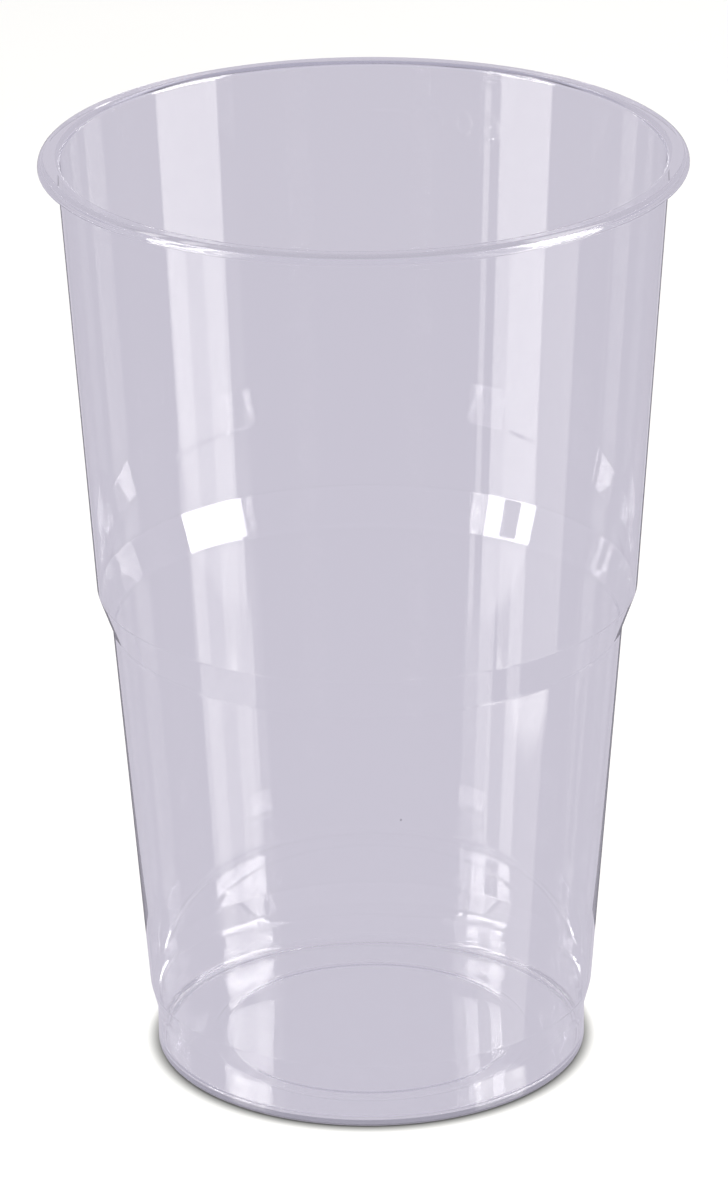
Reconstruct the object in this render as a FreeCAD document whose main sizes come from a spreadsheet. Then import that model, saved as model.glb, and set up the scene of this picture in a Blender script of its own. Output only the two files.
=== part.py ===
import FreeCAD, Part
import os
from types import SimpleNamespace
import Sketcher

# A clear drinking cup, moulded in one piece. Its section is drawn once for the outside and
# once for the inside, and both are turned about the upright axis. Lengths are millimetres,
# +Z is up, and the origin is the middle of the base, on the surface that the cup stands on.

# Driving sizes
SIZES = [
    ("cup_height", 142.0, "whole height, from the base to the top of the rim"),
    ("neck_diameter", 89.5, "outer diameter of the wall under the rim"),
    ("rim_overhang", 2.75, "how far the rim stands out from the neck"),
    ("rim_height", 1.5, "height of the rim's turned-down outer edge"),
    ("flange_thickness", 0.7, "thickness of the rim's flat top"),
    ("skirt_thickness", 0.7, "thickness of the rim's turned-down edge"),
    ("wall_thickness", 0.5, "thickness of the wall, measured level"),
    ("waist_diameter", 76.4, "outer diameter at the shoulder's lower edge"),
    ("shoulder_depth", 2.15, "how far the shoulder's upper edge stands out from its lower one"),
    ("shoulder_level", 68.9, "height of the shoulder's lower edge above the base"),
    ("shoulder_rise", 6.0, "height of the shoulder itself"),
    ("shoulder_round", 1.0, "radius along the shoulder's upper edge"),
    ("waist_round", 3.0, "radius along the shoulder's lower edge"),
    ("foot_diameter", 65.3, "outer diameter of the foot"),
    ("step_depth", 1.05, "how far the wall stands out from the foot, above the step"),
    ("step_rise", 4.0, "height of the step over the foot"),
    ("foot_height", 6.3, "height of the foot's upright band"),
    ("step_round", 2.0, "radius along the step's upper edge"),
    ("foot_round", 8.0, "radius where the foot's band runs out into the step"),
    ("floor_thickness", 0.7, "thickness of the floor"),
    ("floor_round", 1.3, "radius inside the cup, where the floor meets the wall"),
    ("base_round", 0.7, "radius along the foot's lower edge"),
    ("standing_width", 8.45, "width of the ring from the foot's outside to the recess"),
    ("recess_depth", 0.4, "how far the middle of the floor is raised over that ring"),
    ("recess_slope", 1.8, "width of the slope from that ring up to the raised middle"),
    ("rim_round", 1.2, "radius along the rim's outer top edge"),
    ("lip_round", 1.0, "radius along the mouth's edge"),
]

doc = FreeCAD.newDocument("cup")


# Sheet of sizes
def add_sheet(sizes):
    """One row for each size: its name, its number, which carries the alias, and its meaning."""
    sheet = doc.addObject("Spreadsheet::Sheet", "Sizes")
    for row, (name, number, meaning) in enumerate(sizes, start=1):
        sheet.set("A%d" % row, name)
        sheet.set("B%d" % row, str(number))
        sheet.set("C%d" % row, meaning)
        sheet.setAlias("B%d" % row, name)
    doc.recompute()
    return sheet


class Length:
    """A length: its number in millimetres, and the expression that reads it from the sheet."""

    def __init__(self, number, text):
        self.number = number
        self.text = text

    def __add__(self, other):
        return Length(self.number + other.number, "%s + %s" % (self.text, other.text))

    def __sub__(self, other):
        return Length(self.number - other.number, "%s - (%s)" % (self.text, other.text))

    def half(self):
        return Length(self.number / 2, "(%s) / 2" % self.text)


def named_lengths(sizes):
    """Every size by its name, as a Length bound to its cell."""
    return SimpleNamespace(**{name: Length(number, "Sizes." + name) for name, number, _ in sizes})


# Sketches
def half_section(body, name, corners):
    """Draw a closed half section on the body's XZ plane, each corner held from the sheet.

    A corner is (radius, height), both Lengths. A radius or height of None lies on that axis.
    """
    plane = next(item for item in body.Origin.OriginFeatures if item.Role == "XZ_Plane")
    sketch = body.newObject("Sketcher::SketchObject", name)
    sketch.AttachmentSupport = (plane, [""])
    sketch.MapMode = "FlatFace"
    count = len(corners)
    points = [FreeCAD.Vector(number_of(radius), number_of(height), 0) for radius, height in corners]
    for index in range(count):
        sketch.addGeometry(Part.LineSegment(points[index], points[(index + 1) % count]))
    for index in range(count):
        sketch.addConstraint(Sketcher.Constraint("Coincident", index, 2, (index + 1) % count, 1))
    for index, (radius, height) in enumerate(corners):
        hold_corner(sketch, index, radius, height)
    return sketch


def number_of(length):
    """A Length's number, or zero for a corner on the axis."""
    return 0.0 if length is None else length.number


def hold_corner(sketch, line, radius, height):
    """Hold the first end of a line at its radius and its height."""
    level_axis = -1
    upright_axis = -2
    if radius is None:
        sketch.addConstraint(Sketcher.Constraint("PointOnObject", line, 1, upright_axis))
    else:
        add_distance(sketch, "DistanceX", line, radius)
    if height is None:
        sketch.addConstraint(Sketcher.Constraint("PointOnObject", line, 1, level_axis))
    else:
        add_distance(sketch, "DistanceY", line, height)


def add_distance(sketch, kind, line, length):
    """Add one distance from the origin to a line's first end, and bind it to the sheet."""
    distance = Sketcher.Constraint(kind, -1, 1, line, 1, length.number)
    number = sketch.addConstraint(distance)
    sketch.setExpression("Constraints[%d]" % number, length.text)


# Turned features
def turn(body, kind, name, sketch):
    """Turn a half section once round the upright axis, as a Revolution or a Groove."""
    feature = body.newObject("PartDesign::" + kind, name)
    feature.Profile = sketch
    feature.ReferenceAxis = (sketch, ["V_Axis"])
    feature.Angle = 360
    sketch.Visibility = False
    doc.recompute()
    return feature


# Rounded edges
def ring_edges(shape, radius, height):
    """Names of the full circles about the upright axis at one radius and one height."""
    near = 0.001
    names = []
    for index, edge in enumerate(shape.Edges, start=1):
        circle = edge.Curve
        if circle.TypeId != "Part::GeomCircle":
            continue
        off_axis = FreeCAD.Vector(circle.Center.x, circle.Center.y, 0).Length
        off_radius = abs(circle.Radius - radius)
        off_height = abs(circle.Center.z - height)
        if max(off_axis, off_radius, off_height) < near:
            names.append("Edge%d" % index)
    return names


def round_rings(body, name, round_size, rings):
    """Round the rings at the given corners with one radius from the sheet."""
    last = body.Tip
    names = []
    for radius, height in rings:
        found = ring_edges(last.Shape, number_of(radius), number_of(height))
        if not found:
            raise ValueError("%s: no ring at radius %.3f" % (name, radius.number))
        names = names + found
    feature = body.newObject("PartDesign::Fillet", name)
    feature.Base = (last, names)
    feature.setExpression("Radius", round_size.text)
    doc.recompute()
    return feature


# The cup
def make_cup(size):
    """The cup: its outside, its hollow, the raised middle of its floor, then its edges."""
    body = doc.addObject("PartDesign::Body", "cup")
    body.Label = "cup"

    foot_radius = size.foot_diameter.half()
    foot = (foot_radius, size.foot_height)
    step = (foot_radius + size.step_depth, size.foot_height + size.step_rise)
    waist_radius = size.waist_diameter.half()
    waist = (waist_radius, size.shoulder_level)
    shoulder = (waist_radius + size.shoulder_depth, size.shoulder_level + size.shoulder_rise)
    neck_radius = size.neck_diameter.half()
    rim_radius = neck_radius + size.rim_overhang
    recess_radius = foot_radius - size.standing_width
    raised_radius = recess_radius - size.recess_slope

    def inner(corner):
        """The hollow's corner behind one of the outside: a wall further in, at its height."""
        radius, height = corner
        return (radius - size.wall_thickness, height)

    # Outside, from the base up the wall, then round the rim with its open underside
    flange_underside = size.cup_height - size.flange_thickness
    skirt_end = size.cup_height - size.rim_height
    skirt_inside = rim_radius - size.skirt_thickness
    outside = half_section(body, "OutsideSection", [
        (None, None),
        (foot_radius, None),
        foot,
        step,
        waist,
        shoulder,
        (neck_radius, flange_underside),
        (skirt_inside, flange_underside),
        (skirt_inside, skirt_end),
        (rim_radius, skirt_end),
        (rim_radius, size.cup_height),
        (None, size.cup_height),
    ])
    turn(body, "Revolution", "Outside", outside)

    # Hollow, from the raised middle of the floor up to the mouth
    raised_floor = size.recess_depth + size.floor_thickness
    mouth = inner((neck_radius, size.cup_height))
    floor_edge = inner((foot_radius, size.floor_thickness))
    hollow = half_section(body, "HollowSection", [
        (None, raised_floor),
        (raised_radius, raised_floor),
        (recess_radius, size.floor_thickness),
        floor_edge,
        inner(foot),
        inner(step),
        inner(waist),
        inner(shoulder),
        mouth,
        (None, size.cup_height),
    ])
    turn(body, "Groove", "Hollow", hollow)

    # Underside, where the middle is raised so that the cup stands on a flat ring
    recess = half_section(body, "RecessSection", [
        (None, None),
        (recess_radius, None),
        (raised_radius, size.recess_depth),
        (None, size.recess_depth),
    ])
    turn(body, "Groove", "Recess", recess)

    # Edges, from the foot up
    round_rings(body, "BaseRound", size.base_round, [(foot_radius, None)])
    round_rings(body, "FloorRound", size.floor_round, [floor_edge])
    round_rings(body, "FootRound", size.foot_round, [foot, inner(foot)])
    round_rings(body, "StepRound", size.step_round, [step, inner(step)])
    round_rings(body, "WaistRound", size.waist_round, [waist, inner(waist)])
    round_rings(body, "ShoulderRound", size.shoulder_round, [shoulder, inner(shoulder)])
    round_rings(body, "RimRound", size.rim_round, [(rim_radius, size.cup_height)])
    round_rings(body, "LipRound", size.lip_round, [mouth])
    return body


def sound_solid(body):
    """The body's shape, or an error if a feature failed or it isn't one sound solid."""
    for item in doc.Objects:
        if "Invalid" in item.State or "Error" in item.State:
            raise ValueError("%s failed: %s" % (item.Name, item.State))
    shape = body.Shape
    if shape.isNull() or not shape.isValid() or len(shape.Solids) != 1:
        raise ValueError("%s isn't one sound solid" % body.Label)
    return shape


add_sheet(SIZES)
cup = make_cup(named_lengths(SIZES))
doc.recompute()
solid = sound_solid(cup)

os.makedirs("parts", exist_ok=True)
solid.exportStep("parts/%s.step" % cup.Label)

box = solid.optimalBoundingBox()
print("cup: %.1f x %.1f x %.1f mm" % (box.XLength, box.YLength, box.ZLength))
print("plastic: %.2f cubic centimetres" % (solid.Volume / 1000))
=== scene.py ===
# %% [markdown]
# A clear disposable cup, as a lesson in cells.
# The real cup is one thin skin of clear polystyrene, so it has no parts to put together. Its
# looks come from three things: an exact section, a glassy plastic, and a studio for it to mirror.
# Each of them gets its own steps below, with the camera first.

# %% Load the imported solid
import math

import bpy
import numpy as np
from mathutils import Matrix, Vector


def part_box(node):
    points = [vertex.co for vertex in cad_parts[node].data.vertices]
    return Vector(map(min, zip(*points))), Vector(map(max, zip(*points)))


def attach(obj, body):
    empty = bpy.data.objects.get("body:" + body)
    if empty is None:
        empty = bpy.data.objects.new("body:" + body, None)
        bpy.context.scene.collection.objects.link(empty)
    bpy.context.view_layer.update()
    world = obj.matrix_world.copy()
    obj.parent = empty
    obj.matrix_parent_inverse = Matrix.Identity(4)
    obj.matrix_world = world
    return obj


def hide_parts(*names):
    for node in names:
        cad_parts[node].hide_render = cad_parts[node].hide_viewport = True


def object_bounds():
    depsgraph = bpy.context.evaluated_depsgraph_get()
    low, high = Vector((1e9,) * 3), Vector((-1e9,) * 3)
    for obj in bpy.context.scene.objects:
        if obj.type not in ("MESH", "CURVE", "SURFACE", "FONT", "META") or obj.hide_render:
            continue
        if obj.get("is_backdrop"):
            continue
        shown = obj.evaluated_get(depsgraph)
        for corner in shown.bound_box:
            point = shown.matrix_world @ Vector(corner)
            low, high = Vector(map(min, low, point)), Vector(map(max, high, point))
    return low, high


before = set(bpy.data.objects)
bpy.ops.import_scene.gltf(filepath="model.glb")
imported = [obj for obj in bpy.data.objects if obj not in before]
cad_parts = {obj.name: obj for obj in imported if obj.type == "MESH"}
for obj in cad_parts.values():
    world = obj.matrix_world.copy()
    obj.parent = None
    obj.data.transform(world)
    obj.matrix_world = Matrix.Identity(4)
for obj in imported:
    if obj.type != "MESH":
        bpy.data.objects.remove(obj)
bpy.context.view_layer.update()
MM = 0.001
cup_low, cup_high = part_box("cup")
print("solid: %.1f mm across, %.1f mm high" % ((cup_high.x - cup_low.x) / MM, cup_high.z / MM))


# %% [markdown]
# The camera stands where the photographer stood. Its place was found by matching the ellipses of
# the rim, the shoulder and the base: a round rim that shows as a narrow ellipse is seen from low
# down, and how much narrower it is than the base's ellipse says how near the lens was.

# %% Camera
PICTURE_LONG_SIDE = 1200
FOCAL_PIXELS = 6443
SENSOR_WIDTH = 36.0
CAMERA_DISTANCE = 894.3 * MM
CAMERA_HEIGHT = 431.6 * MM
LOOK_DOWN = math.radians(21.928)
LOOK_ASIDE = math.radians(0.033)
CAMERA_TILT = math.radians(-0.541)


def add_camera():
    """A camera in front of the cup, looking along +Y and down, turned a little about its own axis."""
    data = bpy.data.cameras.new("camera")
    data.sensor_width = SENSOR_WIDTH
    data.lens = FOCAL_PIXELS / PICTURE_LONG_SIDE * SENSOR_WIDTH
    camera = bpy.data.objects.new("camera", data)
    turned = Matrix.Rotation(LOOK_ASIDE, 4, "Z") @ Matrix.Rotation(math.pi / 2 - LOOK_DOWN, 4, "X")
    tilted = turned @ Matrix.Rotation(CAMERA_TILT, 4, "Z")
    camera.matrix_world = Matrix.Translation((0, -CAMERA_DISTANCE, CAMERA_HEIGHT)) @ tilted
    bpy.context.scene.collection.objects.link(camera)
    bpy.context.scene.camera = camera
    return camera


camera = add_camera()
print("camera: %.0f mm lens, %.0f mm away" % (camera.data.lens, camera.location.length / MM))


# %% [markdown]
# A cup of this kind is a body of revolution. A lathe modifier could turn an outline, but a grid
# worked out in numpy gives the same surface with rows and columns where they are needed, and its
# two poles are closed by hand. The outline starts under the middle of the floor, goes out and up
# the outside, over the rim, and down the inside to the middle of the floor again.

# %% Sizes of the section, in millimetres
HEIGHT = cup_high.z / MM
RIM_RADIUS = min(cup_high.x, cup_high.y) / MM
RIM_OVERHANG = 2.75
RIM_HEIGHT = 1.5
FLANGE = 0.7
SKIRT = 0.7
WALL = 0.5
FLOOR = 0.7
STANDING_WIDTH = 8.45
RECESS = 0.4
RECESS_SLOPE = 1.8
NECK_RADIUS = RIM_RADIUS - RIM_OVERHANG
INNER_MOUTH = NECK_RADIUS - WALL
SKIRT_INSIDE = RIM_RADIUS - SKIRT
print("wall: %.1f mm thick, from the floor to a mouth of %.1f mm radius" % (WALL, INNER_MOUTH))

# %% Corners of the outer wall, each a radius and a height
FOOT = (32.65, 6.3)
STEP = (33.7, 10.3)
WAIST = (38.2, 68.9)
SHOULDER = (40.35, 74.9)
RECESS_RADIUS = FOOT[0] - STANDING_WIDTH
RAISED_RADIUS = RECESS_RADIUS - RECESS_SLOPE


def neck_radius_at(height):
    """Outer radius of the wall between shoulder and rim, in line from one to the other."""
    share = (height - SHOULDER[1]) / (HEIGHT - FLANGE - SHOULDER[1])
    return SHOULDER[0] + share * (NECK_RADIUS - SHOULDER[0])


print("neck 10 mm under the rim: %.2f mm radius" % neck_radius_at(HEIGHT - 10))

# %% Where the fill mark stands on the outside of the neck
MARK_ANGLE = math.radians(70)
MARK_DROP = 9.1
MARK_HALF_HEIGHT = 3.2
MARK_LEFT, MARK_RIGHT = -6.6, 14.4
MARK_STEP = 0.16
MARK_LEVEL = HEIGHT - MARK_DROP
MARK_BOTTOM, MARK_TOP = MARK_LEVEL - MARK_HALF_HEIGHT, MARK_LEVEL + MARK_HALF_HEIGHT
mark_radius = neck_radius_at(MARK_LEVEL)
print("fill mark: %.1f mm under the rim, at %.2f mm radius" % (MARK_DROP, mark_radius))


# %% [markdown]
# Corners on a moulded cup are never sharp, and on clear plastic each round shows as a thin bright
# line, because it mirrors a lamp from somewhere along its curve. Each corner becomes an arc that
# touches both its sides, and the straight stretches are cut into shorter ones so that the rows
# of the mesh stay fairly even.

# %% Corners of the section: radius, height, and the radius of the round
SHARP_ROUND = 0.15
RECESS_ROUND = 2.0
BASE_ROUND = 0.7
FOOT_ROUND = 8.0
STEP_ROUND = 2.0
WAIST_ROUND = 3.0
SHOULDER_ROUND = 1.0
RIM_ROUND = 1.2
LIP_ROUND = 1.0
FLOOR_ROUND = 1.3


def behind(corner):
    """The inside's corner behind one of the outside: a wall further in, at the same height."""
    return corner[0] - WALL, corner[1]


corners = np.array([
    (0, RECESS, 0),
    (RAISED_RADIUS, RECESS, RECESS_ROUND),
    (RECESS_RADIUS, 0, RECESS_ROUND),
    (FOOT[0], 0, BASE_ROUND),
    (*FOOT, FOOT_ROUND),
    (*STEP, STEP_ROUND),
    (*WAIST, WAIST_ROUND),
    (*SHOULDER, SHOULDER_ROUND),
    (neck_radius_at(MARK_BOTTOM), MARK_BOTTOM, 0),
    (neck_radius_at(MARK_TOP), MARK_TOP, 0),
    (NECK_RADIUS, HEIGHT - FLANGE, SHARP_ROUND),
    (SKIRT_INSIDE, HEIGHT - FLANGE, SHARP_ROUND),
    (SKIRT_INSIDE, HEIGHT - RIM_HEIGHT, SHARP_ROUND),
    (RIM_RADIUS, HEIGHT - RIM_HEIGHT, SHARP_ROUND),
    (RIM_RADIUS, HEIGHT, RIM_ROUND),
    (INNER_MOUTH, HEIGHT, LIP_ROUND),
    (*behind(SHOULDER), SHOULDER_ROUND),
    (*behind(WAIST), WAIST_ROUND),
    (*behind(STEP), STEP_ROUND),
    (*behind(FOOT), FOOT_ROUND),
    (FOOT[0] - WALL, FLOOR, FLOOR_ROUND),
    (RECESS_RADIUS, FLOOR, RECESS_ROUND),
    (RAISED_RADIUS, RECESS + FLOOR, RECESS_ROUND),
    (0, RECESS + FLOOR, 0),
])
print("section: %d corners" % len(corners))

# %% Round the corners and fill in the straight stretches
ARC_STEP = math.radians(9)
LONGEST = 4.0
TINY = 1e-9


def rounded_corner(before, corner, after, radius):
    """Points of the arc that touches both sides of a corner.

    The arc starts radius * tan(turn / 2) before the corner. Its point at angle a is that start,
    plus the inward normal times radius * (1 - cos(a)), plus the side's direction times
    radius * sin(a).
    """
    if radius == 0:
        return corner[None, :]
    along = (corner - before) / np.linalg.norm(corner - before)
    onward = (after - corner) / np.linalg.norm(after - corner)
    cross = along[0] * onward[1] - along[1] * onward[0]
    turn = math.atan2(abs(cross), along @ onward)
    inward = math.copysign(1, cross) * np.array([-along[1], along[0]])
    start = corner - along * radius * math.tan(turn / 2)
    angles = np.linspace(0, turn, 2 + math.ceil(turn / ARC_STEP))[:, None]
    return start + radius * (inward * (1 - np.cos(angles)) + along * np.sin(angles))


def filled_in(points, longest):
    """Cut each stretch between two points into equal steps, none over its own longest length."""
    along = np.diff(points, axis=0)
    counts = np.ceil(np.linalg.norm(along, axis=1) / longest - TINY).astype(int).clip(1)
    place = np.arange(counts.sum()) - np.repeat(np.cumsum(counts) - counts, counts)
    steps = np.repeat(along / counts[:, None], counts, axis=0)
    return np.vstack([np.repeat(points[:-1], counts, axis=0) + steps * place[:, None], points[-1:]])


def cup_outline():
    """The whole outline, in millimetres: arcs at the corners, and fine steps behind the fill mark."""
    flat = corners[:, :2]
    arcs = [
        rounded_corner(flat[i - 1], flat[i], flat[i + 1], corners[i, 2])
        for i in range(1, len(flat) - 1)
    ]
    points = np.vstack([flat[:1], *arcs, flat[-1:]])
    middle = (points[1:] + points[:-1]) / 2
    behind_mark = (abs(middle[:, 1] - MARK_LEVEL) < MARK_STEP) & (middle[:, 0] > mark_radius - WALL / 2)
    return filled_in(points, np.where(behind_mark, MARK_STEP, LONGEST))


outline = cup_outline()
print("outline: %d points, %.0f mm long" % (len(outline), np.hypot(*np.diff(outline, axis=0).T).sum()))


# %% [markdown]
# Cups are sold by what they hold, and a short line with a number is moulded into the wall where
# they should be filled to. The number here is this model's own: the volume under the line, worked
# out from the inside of the section, to the nearest fifty millilitres. Its strokes are a soft
# ridge on the outside of the wall, as an engraved mould leaves it. They are read from outside, so
# from inside they run backwards.

# %% What the cup holds up to the line
LINE_RISE = 1.0
FILL_LEVEL = MARK_LEVEL + LINE_RISE
SLICES = 2000
CUBIC_MM_PER_ML = 1000


def held_volume(level):
    """Millilitres inside the cup below a level: the mean of pi times radius squared, times the height."""
    inside = outline[np.argmax(outline[:, 1]):]
    inside = inside[inside[:, 0] <= INNER_MOUTH][::-1]
    heights = np.linspace(RECESS + FLOOR, level, SLICES)
    radii = np.interp(heights, inside[:, 1], inside[:, 0])
    return math.pi * (radii ** 2).mean() * (level - heights[0]) / CUBIC_MM_PER_ML


print("holds %.0f ml to the line, %.0f ml to the brim" % (held_volume(FILL_LEVEL), held_volume(HEIGHT)))

# %% Strokes of the mark, in millimetres along the wall and up it
FIGURE_WIDTH, FIGURE_HEIGHT, FIGURE_PITCH = 2.3, 3.3, 4.6
LINE_START, LINE_END = 9.4, 13.5
CURVE = np.linspace(0, 2 * math.pi, 33)
STEM_CURVE = np.linspace(0.12, math.pi / 2, 12)
BOWL_DROP, BOWL_HALF_HEIGHT = 0.2, 0.3
STEM_TIP, STEM_REACH, STEM_RISE = 0.45, 0.95, 0.7


def zero(centre):
    """A nought: an upright ellipse, half a width times sin(a) across and half a height times cos(a) up."""
    across = centre + FIGURE_WIDTH / 2 * np.sin(CURVE)
    return np.stack([across, FIGURE_HEIGHT / 2 * np.cos(CURVE)], axis=1)


def six(centre):
    """A six: a quarter ellipse from its tip down its left side, then a smaller ellipse as its bowl.

    The stem is at tip less reach times sin(a) across and rise times cos(a) over the bowl's middle,
    in shares of the figure's width and height.
    """
    middle = -BOWL_DROP * FIGURE_HEIGHT
    stem = np.stack([
        centre + FIGURE_WIDTH * (STEM_TIP - STEM_REACH * np.sin(STEM_CURVE)),
        middle + STEM_RISE * FIGURE_HEIGHT * np.cos(STEM_CURVE),
    ], axis=1)
    bowl = np.stack([
        centre - FIGURE_WIDTH / 2 * np.cos(CURVE),
        middle - BOWL_HALF_HEIGHT * FIGURE_HEIGHT * np.sin(CURVE),
    ], axis=1)
    return np.vstack([stem, bowl])


fill_line = np.array([(LINE_START, LINE_RISE), (LINE_END, LINE_RISE)])
strokes = [six(-FIGURE_PITCH), zero(0.0), zero(FIGURE_PITCH), fill_line]
print("fill mark: %d strokes" % len(strokes))

# %% Height of the ridge at every point of the wall
RIDGE_HEIGHT = 0.03
RIDGE_HALF_WIDTH = 0.1
RIDGE_EDGE = 0.6


def distance_to_stroke(points, stroke):
    """Distance of each point from a bent line: the least over its straight pieces.

    On one piece, the nearest place is the point's shadow on it, held between the two ends.
    """
    start, along = stroke[:-1], np.diff(stroke, axis=0)
    away = points[:, None, :] - start
    share = ((away * along).sum(axis=2) / (along ** 2).sum(axis=1)).clip(0, 1)
    return np.linalg.norm(away - share[:, :, None] * along, axis=2).min(axis=1)


def ridge_at(across, up):
    """Height of the ridge: full near a stroke, and falling to nothing as half a cosine wave."""
    points = np.stack([across.ravel(), up.ravel()], axis=1)
    distance = np.min([distance_to_stroke(points, stroke) for stroke in strokes], axis=0)
    fade = ((distance - RIDGE_HALF_WIDTH) / RIDGE_EDGE).clip(0, 1)
    return (RIDGE_HEIGHT * (1 + np.cos(math.pi * fade)) / 2).reshape(across.shape)


steepest = math.degrees(math.atan(RIDGE_HEIGHT * math.pi / 2 / RIDGE_EDGE))
print("ridge: %.2f mm high, its sides tilt by %.1f degrees at most" % (RIDGE_HEIGHT, steepest))


# %% [markdown]
# Now the outline is turned. A coarse wheel of columns is enough for a plain round wall, while the
# fill mark needs one every sixth of a millimetre, so the columns crowd together only across it.

# %% Turn the outline about the upright axis
COARSE_COLUMNS = 232


def column_angles():
    """Angles of the columns: close together across the fill mark, and even round the rest."""
    first, last = MARK_ANGLE + MARK_LEFT / mark_radius, MARK_ANGLE + MARK_RIGHT / mark_radius
    fine_count = round((MARK_RIGHT - MARK_LEFT) / MARK_STEP)
    fine = np.linspace(first, last, fine_count, endpoint=False)
    return np.concatenate([fine, np.linspace(last, first + 2 * math.pi, COARSE_COLUMNS, endpoint=False)])


def turned_points(rows, angles):
    """Every row turned to every angle: x = radius * cos, y = radius * sin, and the ridge on top."""
    radius = np.repeat(rows[:, :1], len(angles), axis=1)
    height = np.repeat(rows[:, 1:], len(angles), axis=1)
    across = np.repeat((angles[None, :] - MARK_ANGLE) * mark_radius, len(rows), axis=0)
    marked = (abs(height - MARK_LEVEL) < MARK_HALF_HEIGHT) & (radius > neck_radius_at(height) - WALL / 2)
    marked &= (across > MARK_LEFT) & (across < MARK_RIGHT)
    radius[marked] += ridge_at(across[marked], height[marked] - MARK_LEVEL)
    return np.stack([radius * np.cos(angles), radius * np.sin(angles), height], axis=2).reshape(-1, 3)


def turned_faces(row_count, column_count):
    """Four-sided faces between neighbouring rows and columns, then a fan round each pole."""
    grid = np.arange(row_count * column_count).reshape(row_count, column_count)
    ahead = np.roll(grid, -1, axis=1)
    quads = np.stack([grid[:-1], ahead[:-1], ahead[1:], grid[1:]], axis=2).reshape(-1, 4)
    under, over = grid.size, grid.size + 1
    under_fan = np.stack([ahead[0], grid[0], np.full(column_count, under)], axis=1)
    over_fan = np.stack([grid[-1], ahead[-1], np.full(column_count, over)], axis=1)
    return quads.tolist() + under_fan.tolist() + over_fan.tolist()


def make_cup():
    """The cup as one closed surface, with its faces outwards and its normals smooth."""
    angles = column_angles()
    rows = outline[1:-1]
    poles = np.array([(0, 0, outline[0, 1]), (0, 0, outline[-1, 1])])
    points = np.vstack([turned_points(rows, angles), poles]) * MM
    mesh = bpy.data.meshes.new("clear_cup")
    mesh.from_pydata(points.tolist(), [], turned_faces(len(rows), len(angles)))
    mesh.shade_smooth()
    piece = bpy.data.objects.new("clear_cup", mesh)
    bpy.context.scene.collection.objects.link(piece)
    piece.modifiers.new("even normals", "WEIGHTED_NORMAL")
    return piece


cup = make_cup()
print("cup: %d faces" % len(cup.data.polygons))


# %% [markdown]
# Clear polystyrene bends light strongly, with an index of 1.59, so it mirrors about a twentieth of
# what it faces straight on, and far more at a slant. It comes off a polished mould, so it is very
# smooth, but the melt sets unevenly and the wall ripples by a few thousandths of a millimetre over
# a centimetre or two, which makes the edges of mirrored lamps wander. The plastic swallows about
# four per cent of the light in each millimetre, so thick places look a little deeper. Two dark
# specks are caught in the wall, one at the front and one at the back.

# %% Colours and nodes
MIDDLE_GREY = "#808080"


def linear(code):
    """Linear colour of an sRGB hex code: below 0.04045 a straight line, above it a power of 2.4."""
    parts = np.array([int(code[i:i + 2], 16) for i in (1, 3, 5)]) / 255
    curved = np.where(parts <= 0.04045, parts / 12.92, ((parts + 0.055) / 1.055) ** 2.4)
    return (*curved.tolist(), 1.0)


def add_node(tree, kind, inputs=None, **settings):
    """Add one node, set its properties, and set or link its inputs."""
    node = tree.nodes.new(kind)
    for name, value in settings.items():
        setattr(node, name, value)
    for name, value in (inputs or {}).items():
        if isinstance(value, bpy.types.NodeSocket):
            tree.links.new(value, node.inputs[name])
        else:
            node.inputs[name].default_value = value
    return node


def new_material(name):
    """An empty material with its output node."""
    material = bpy.data.materials.new(name)
    material.use_nodes = True
    material.node_tree.nodes.clear()
    return material, material.node_tree, add_node(material.node_tree, "ShaderNodeOutputMaterial")


BLACK, WHITE = linear("#000000"), linear("#FFFFFF")
print("half-way grey on the screen is %.3f of white's light" % linear(MIDDLE_GREY)[0])

# %% Ripples of the wall and specks in it
RIPPLE_LENGTH = 16 * MM
RIPPLE_DEPTH = 0.004 * MM
PLASTIC_TINT = "#FEFEFF"
SPECK_TINT = "#4A4650"
SPECK_RADIUS = 0.16 * MM
SPECKS = [(4.58 * MM, -36.6 * MM, 51.76 * MM), (19.66 * MM, 33.86 * MM, 71.58 * MM)]


def rippled_normal(tree, place):
    """Normals of the uneven wall: a bump from smooth noise, with one lump to a ripple's length."""
    ripple = add_node(tree, "ShaderNodeTexNoise", {
        "Vector": place, "Scale": 1 / RIPPLE_LENGTH, "Detail": 1.0,
    })
    surface = add_node(tree, "ShaderNodeBump", {
        "Height": ripple.outputs["Fac"], "Distance": RIPPLE_DEPTH, "Strength": 1.0,
    })
    return surface.outputs["Normal"]


def speckled_tint(tree, place):
    """The plastic's tint, which turns dark within a speck's radius of the nearer speck."""
    away = [
        add_node(tree, "ShaderNodeVectorMath", {0: place, 1: speck}, operation="DISTANCE")
        for speck in SPECKS
    ]
    nearest = add_node(tree, "ShaderNodeMath", {
        0: away[0].outputs["Value"], 1: away[1].outputs["Value"],
    }, operation="MINIMUM")
    clean = add_node(tree, "ShaderNodeMapRange", {
        "Value": nearest.outputs[0], "From Min": SPECK_RADIUS / 2, "From Max": SPECK_RADIUS,
    })
    tint = add_node(tree, "ShaderNodeMix", {
        0: clean.outputs[0], 6: linear(SPECK_TINT), 7: linear(PLASTIC_TINT),
    }, data_type="RGBA")
    return tint.outputs[2]


print("ripples: %.3f mm deep, %.0f mm long" % (RIPPLE_DEPTH / MM, RIPPLE_LENGTH / MM))


# %% [markdown]
# A path tracer follows light from surface to surface and gives up after some, and what it gives up
# on comes out black. Light that is caught inside a thin clear wall meets dozens of surfaces. So a
# path that has been mirrored more than twice, or has met more than nine surfaces, goes straight
# through the plastic from there on, with next to no tint, because it may cross many times. Light
# between the lamps and the floor goes straight through as well: so thin a wall hardly bends it.

# %% Light that goes straight through
MOST_SURFACES = 9
MOST_MIRRORINGS = 2
LOST_TINT = "#FBFBFD"
SHADOW_TINT = "#FCFCFC"


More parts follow.
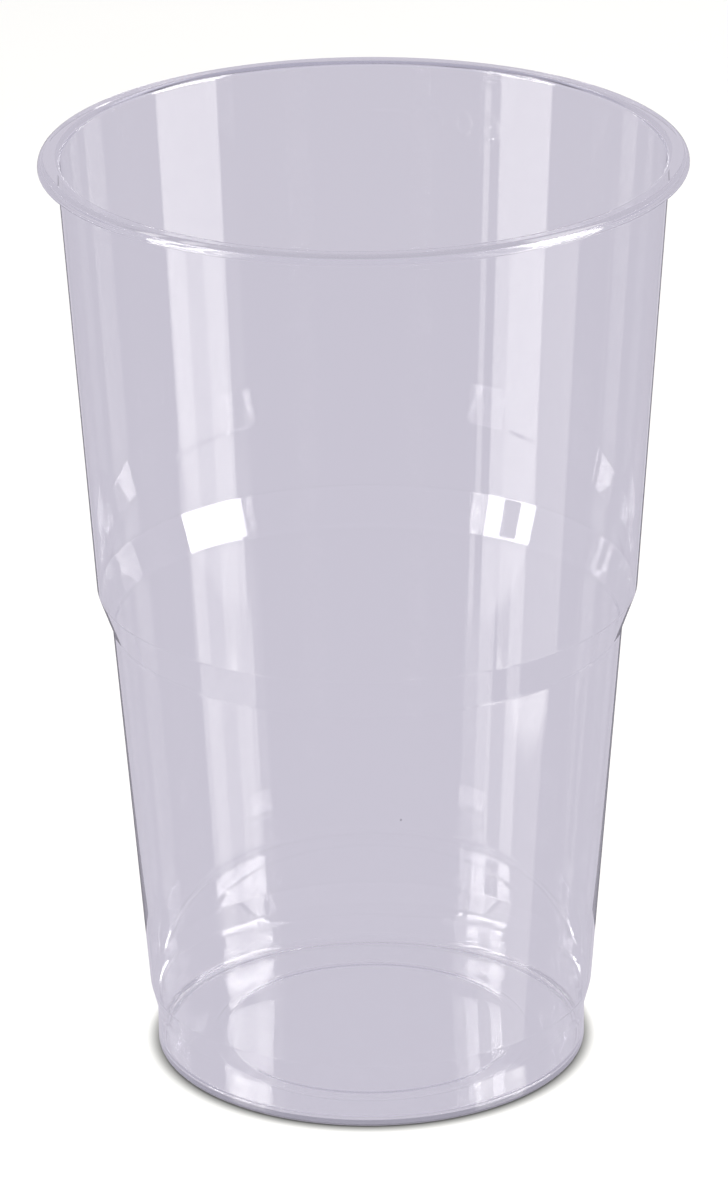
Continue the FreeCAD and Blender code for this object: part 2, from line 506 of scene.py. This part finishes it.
def straight_through(tree):
    """Which light goes straight through, as one or nought, and the clear shader that it meets."""
    path = add_node(tree, "ShaderNodeLightPath")
    deep = add_node(tree, "ShaderNodeMath", {
        0: path.outputs["Ray Depth"], 1: MOST_SURFACES,
    }, operation="GREATER_THAN")
    guided = add_node(tree, "ShaderNodeMath", {
        0: path.outputs["Glossy Depth"], 1: MOST_MIRRORINGS,
    }, operation="GREATER_THAN")
    lost = add_node(tree, "ShaderNodeMath", {
        0: deep.outputs[0], 1: guided.outputs[0],
    }, operation="MAXIMUM")
    lamp_side = add_node(tree, "ShaderNodeMath", {
        0: path.outputs["Is Shadow Ray"], 1: path.outputs["Is Diffuse Ray"],
    }, operation="MAXIMUM")
    either = add_node(tree, "ShaderNodeMath", {
        0: lost.outputs[0], 1: lamp_side.outputs[0],
    }, operation="MAXIMUM")
    tint = add_node(tree, "ShaderNodeMix", {
        0: lamp_side.outputs[0], 6: linear(LOST_TINT), 7: linear(SHADOW_TINT),
    }, data_type="RGBA")
    passed = add_node(tree, "ShaderNodeBsdfTransparent", {"Color": tint.outputs[2]})
    return either.outputs[0], passed.outputs[0]


print("straight through: after %d mirrorings or %d surfaces" % (MOST_MIRRORINGS, MOST_SURFACES))

# %% Injection-moulded clear polystyrene
POLYSTYRENE_IOR = 1.59
DEPTH_DARKENING = 0.04 / MM


def clear_polystyrene():
    """Glassy plastic off a polished mould, which swallows light as exp(-darkening * depth)."""
    material, tree, output = new_material("injection_moulded_clear_polystyrene")
    place = add_node(tree, "ShaderNodeTexCoord").outputs["Object"]
    plastic = add_node(tree, "ShaderNodeBsdfPrincipled", {
        "Base Color": speckled_tint(tree, place), "Roughness": 0.0, "IOR": POLYSTYRENE_IOR,
        "Transmission Weight": 1.0, "Normal": rippled_normal(tree, place),
    })
    share, passed = straight_through(tree)
    mixed = add_node(tree, "ShaderNodeMixShader", {0: share, 1: plastic.outputs[0], 2: passed})
    depth = add_node(tree, "ShaderNodeVolumeAbsorption", {"Color": BLACK, "Density": DEPTH_DARKENING})
    tree.links.new(depth.outputs[0], output.inputs["Volume"])
    tree.links.new(mixed.outputs[0], output.inputs["Surface"])
    return material


cup.data.materials.append(clear_polystyrene())
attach(cup, "root")
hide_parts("cup")
print("material: %s" % cup.data.materials[0].name)


# %% [markdown]
# A clear cup has hardly any colour of its own: what the eye sees is what stands round it. In the
# picture the cup is filled with the pale lavender grey of the studio, while the ground about it is
# plain white. So the floor and the world are white where the camera sees them, and lavender grey
# where the plastic mirrors them or lets them through.

# %% World
STUDIO_GREY = "#D1CDDA"
SKY_LIGHT = 0.62


def studio_world():
    """White to the camera, the studio's grey through plastic, and a soft even light to the floor."""
    world = bpy.data.worlds.new("studio")
    world.use_nodes = True
    tree = world.node_tree
    tree.nodes.clear()
    path = add_node(tree, "ShaderNodeLightPath")
    grey_side = add_node(tree, "ShaderNodeMath", {
        0: path.outputs["Is Glossy Ray"], 1: path.outputs["Is Transmission Ray"],
    }, operation="MAXIMUM")
    light = add_node(tree, "ShaderNodeBackground", {"Color": WHITE, "Strength": SKY_LIGHT})
    grey = add_node(tree, "ShaderNodeBackground", {"Color": linear(STUDIO_GREY), "Strength": 1.0})
    white = add_node(tree, "ShaderNodeBackground", {"Color": WHITE, "Strength": 1.0})
    unseen = add_node(tree, "ShaderNodeMixShader", {
        0: grey_side.outputs[0], 1: light.outputs[0], 2: grey.outputs[0],
    })
    shown = add_node(tree, "ShaderNodeMixShader", {
        0: path.outputs["Is Camera Ray"], 1: unseen.outputs[0], 2: white.outputs[0],
    })
    output = add_node(tree, "ShaderNodeOutputWorld")
    tree.links.new(shown.outputs[0], output.inputs["Surface"])
    bpy.context.scene.world = world
    return world


print("world: %s" % studio_world().name)


# %% [markdown]
# The floor is a sheet of glossy acrylic, and in the cup's walls it shows a dim gleam of the lamps.
# By Fresnel's law alone that gleam would flare up where the sheet is seen at a slant, so its share
# is capped, and only next to the horizon does the sheet mirror fully. To the camera the sheet is
# plain white. Light comes from all sides and leaves hardly a shadow, so a painted shadow under the
# foot darkens that white by how open each point of the sheet is within two millimetres.
#
# The sides of a clear cup are drawn by dark cards, which photographers call flags and stand just
# out of the picture. A wall that is seen edge on mirrors them as a thin grey line. Here no cards
# stand: two dark strips are painted on the floor behind the cup's two sides, and only mirrored light
# sees them, so they are a painted reflection that draws the thin grey line.

# %% Gleam of the sheet
ACRYLIC_IOR = 1.5
MOST_GLOSS = 0.22
GRAZING_START = 0.62


def gloss_share(tree):
    """How much the sheet mirrors: Fresnel's share up to a cap.

    Past the start of grazing it climbs to one, in line with what is left of Fresnel's share.
    """
    fresnel = add_node(tree, "ShaderNodeFresnel", {"IOR": ACRYLIC_IOR})
    capped = add_node(tree, "ShaderNodeMath", {0: fresnel.outputs[0], 1: MOST_GLOSS}, operation="MINIMUM")
    grazing = add_node(tree, "ShaderNodeMapRange", {"Value": fresnel.outputs[0], "From Min": GRAZING_START})
    share = add_node(tree, "ShaderNodeMath", {
        0: capped.outputs[0], 1: grazing.outputs[0],
    }, operation="MAXIMUM")
    return share.outputs[0]


print("gleam: %.2f of what the sheet faces, up to a slant" % MOST_GLOSS)

# %% Painted flag strips behind the cup's two sides, a painted reflection
FLAG_INSIDE, FLAG_OUTSIDE = 30 * MM, 47 * MM
FLAG_START = 36 * MM
FLAG_SPREAD = math.tan(math.radians(12))


def painted_flag_share(tree, path):
    """One on the two painted flag strips for mirrored light, and nought elsewhere, so they paint a dark
    reflection.

    A flag lies where |x| is over its inside, |x| - spread * y is under its outside, and y is over
    its start.
    """
    place = add_node(tree, "ShaderNodeTexCoord")
    spot = add_node(tree, "ShaderNodeSeparateXYZ", {0: place.outputs["Object"]})
    aside = add_node(tree, "ShaderNodeMath", {0: spot.outputs["X"]}, operation="ABSOLUTE")
    spread = add_node(tree, "ShaderNodeMath", {0: spot.outputs["Y"], 1: FLAG_SPREAD}, operation="MULTIPLY")
    outward = add_node(tree, "ShaderNodeMath", {
        0: aside.outputs[0], 1: spread.outputs[0],
    }, operation="SUBTRACT")
    limits = [
        (outward.outputs[0], "LESS_THAN", FLAG_OUTSIDE),
        (aside.outputs[0], "GREATER_THAN", FLAG_INSIDE),
        (spot.outputs["Y"], "GREATER_THAN", FLAG_START),
    ]
    share = path.outputs["Is Reflection Ray"]
    for value, operation, limit in limits:
        within = add_node(tree, "ShaderNodeMath", {0: value, 1: limit}, operation=operation)
        both = add_node(tree, "ShaderNodeMath", {0: share, 1: within.outputs[0]}, operation="MULTIPLY")
        share = both.outputs[0]
    return share


flag_width = FLAG_OUTSIDE - FLAG_INSIDE + FLAG_SPREAD * FLAG_START
print("flags: %.0f mm wide where they start" % (flag_width / MM))

# %% White of the sheet, with a painted shadow under the foot
SHEET_WHITE = "#F6F6F6"
SHEET_LIFT = 0.08
CONTACT_REACH = 2.0 * MM
CONTACT_POWER = 2.0
CONTACT_SAMPLES = 16


def white_with_painted_shadow(tree):
    """White times its open share to a power, which paints a shadow near the foot, lifted by a little light
    of its own.
    """
    # Painted shadow: the open share within a short reach darkens the white near the cup.
    contact = add_node(tree, "ShaderNodeAmbientOcclusion", {
        "Distance": CONTACT_REACH,
    }, samples=CONTACT_SAMPLES)
    open_share = add_node(tree, "ShaderNodeMath", {
        0: contact.outputs["AO"], 1: CONTACT_POWER,
    }, operation="POWER")
    tone = add_node(tree, "ShaderNodeMix", {
        0: open_share.outputs[0], 6: BLACK, 7: linear(SHEET_WHITE),
    }, data_type="RGBA")
    white = add_node(tree, "ShaderNodeBsdfDiffuse", {"Color": tone.outputs[2]})
    lift = add_node(tree, "ShaderNodeEmission", {"Strength": SHEET_LIFT})
    lifted = add_node(tree, "ShaderNodeAddShader", {0: white.outputs[0], 1: lift.outputs[0]})
    return lifted.outputs[0]


print("fringe: within %.0f mm of the foot" % (CONTACT_REACH / MM))

# %% Cast acrylic sheet, and the floor that is cut from it
MATT_SHARE = 0.03
SHEET_ROUGHNESS = 0.05
# Painted reflection: the colour of the flag strips that only mirrored light sees.
PAINTED_FLAG_TINT = "#3A3840"
FLOOR_RADIUS = 1.48
FLOOR_GAP = 0.05 * MM
FLOOR_CORNERS = 96


def acrylic_sheet():
    """White with a painted shadow to the camera; in the plastic, a glossy grey that glows by itself and so
    stays even.
    """
    material, tree, output = new_material("acrylic_sheet")
    path = add_node(tree, "ShaderNodeLightPath")
    # Painted reflection: dark flag strips in the grey, for mirrored light only.
    tone = add_node(tree, "ShaderNodeMix", {
        0: painted_flag_share(tree, path), 6: linear(STUDIO_GREY), 7: linear(PAINTED_FLAG_TINT),
    }, data_type="RGBA")
    glow = add_node(tree, "ShaderNodeEmission", {"Color": tone.outputs[2]})
    matt = add_node(tree, "ShaderNodeBsdfDiffuse", {"Color": linear(STUDIO_GREY)})
    grey = add_node(tree, "ShaderNodeMixShader", {0: MATT_SHARE, 1: glow.outputs[0], 2: matt.outputs[0]})
    gloss = add_node(tree, "ShaderNodeBsdfGlossy", {"Roughness": SHEET_ROUGHNESS})
    glossy_grey = add_node(tree, "ShaderNodeMixShader", {
        0: gloss_share(tree), 1: grey.outputs[0], 2: gloss.outputs[0],
    })
    # Painted shadow: the camera sees the white, darkened near the foot.
    sheet = add_node(tree, "ShaderNodeMixShader", {
        0: path.outputs["Is Camera Ray"], 1: glossy_grey.outputs[0], 2: white_with_painted_shadow(tree),
    })
    tree.links.new(sheet.outputs[0], output.inputs["Surface"])
    return material


def add_floor():
    """A round sheet just under the cup, so that the two never lie in one plane.

    It ends just inside the lamps' circle, because past them it would be unlit and show as a band.
    """
    turn = np.linspace(0, 2 * math.pi, FLOOR_CORNERS, endpoint=False)
    level = np.full(FLOOR_CORNERS, -FLOOR_GAP)
    rim = np.stack([FLOOR_RADIUS * np.cos(turn), FLOOR_RADIUS * np.sin(turn), level], axis=1)
    mesh = bpy.data.meshes.new("floor")
    mesh.from_pydata(rim.tolist(), [], [list(range(FLOOR_CORNERS))])
    mesh.materials.append(acrylic_sheet())
    piece = bpy.data.objects.new("floor", mesh)
    bpy.context.scene.collection.objects.link(piece)
    piece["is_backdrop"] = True
    return piece


print("floor: %.2f m across" % (2 * add_floor().data.vertices[0].co.x))


# %% [markdown]
# The upright streaks are mirrored windows of light. A wall that faces the camera squarely mirrors
# what is behind the camera, and one that is turned by 35 degrees mirrors what is 70 degrees round.
# So each streak's place on the wall gives the place of its softbox, and where the shoulder tips
# the mirror upwards it shows the softbox's own bright face instead of the floor's dim gleam of it.
# Each window is stacked from bands, because every form of the cup mirrors another level of it: the
# step's slope sees the sill next to the horizon, and the upright foot a thread half a metre up.

# %% Softboxes, with azimuths in degrees from the camera and levels in metres
LAMP_COLOUR = "#FFFDF8"
FAR_CIRCLE, NEAR_CIRCLE = 1.5, 1.2
WINDOW, LOW, LOW_STRIP = (0.33, 1.5), (0.1, 0.33), (0.14, 0.33)
SILL, THREAD = (0.005, 0.1), (0.564, 0.584)

# Name, first and last azimuth, bottom and top, brightness, radius of its circle
SOFTBOXES = [
    ("right_softbox", (56.9, 89.0), WINDOW, 5.5, FAR_CIRCLE),
    ("right_softbox_low", (58.8, 87.5), LOW, 9.0, FAR_CIRCLE),
    ("right_softbox_sill", (58.0, 89.0), SILL, 1.3, FAR_CIRCLE),
    ("right_softbox_middle", (56.9, 91.0), THREAD, 17.0, NEAR_CIRCLE),
    ("left_softbox_edge", (-54.7, -48.0), WINDOW, 1.8, FAR_CIRCLE),
    ("left_softbox_strip", (-51.2, -48.7), LOW_STRIP, 6.0, FAR_CIRCLE),
    ("left_softbox_inner", (-63.2, -55.4), WINDOW, 5.5, FAR_CIRCLE),
    ("left_softbox_outer", (-79.2, -71.4), WINDOW, 5.5, FAR_CIRCLE),
    ("left_softbox_low", (-78.6, -55.4), LOW, 9.0, FAR_CIRCLE),
    ("left_softbox_sill", (-79.2, -55.4), SILL, 1.3, FAR_CIRCLE),
    ("left_softbox_middle", (-82.0, -58.0), THREAD, 15.0, NEAR_CIRCLE),
]


def add_softbox(name, azimuths, levels, brightness, circle):
    """A flat lamp that spans two azimuths of a circle round the cup, and faces the cup.

    Its power is four times its area times the brightness that it shows.
    """
    half = math.radians(azimuths[1] - azimuths[0]) / 2
    middle = math.radians(azimuths[0] + azimuths[1]) / 2
    width = 2 * circle * math.sin(half)
    height = levels[1] - levels[0]
    data = bpy.data.lights.new(name, "AREA")
    data.shape = "RECTANGLE"
    data.size = width
    data.size_y = height
    data.energy = 4 * width * height * brightness
    data.color = linear(LAMP_COLOUR)[:3]
    lamp = bpy.data.objects.new(name, data)
    away = Vector((math.sin(middle), -math.cos(middle), 0))
    turned = away.to_track_quat("Z", "Y").to_matrix().to_4x4()
    place = away * circle * math.cos(half) + Vector((0, 0, sum(levels) / 2))
    lamp.matrix_world = Matrix.Translation(place) @ turned
    bpy.context.scene.collection.objects.link(lamp)
    return lamp


lamps = [add_softbox(*softbox) for softbox in SOFTBOXES]
print("softboxes: %d, %.0f watts together" % (len(lamps), sum(lamp.data.energy for lamp in lamps)))


# %% [markdown]
# The last cell prints the visual model's size, to set beside the solid's size that the first cell
# printed. The visual model may not be larger than the solid that it stands for.

# %% Sizes and finish
bpy.context.scene.view_settings.view_transform = "Standard"
visual_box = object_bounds()
visual_size = [(high - low) / MM for low, high in zip(*visual_box)]
print("visual: %.1f mm across, %.1f mm high" % (visual_size[0], visual_size[2]))
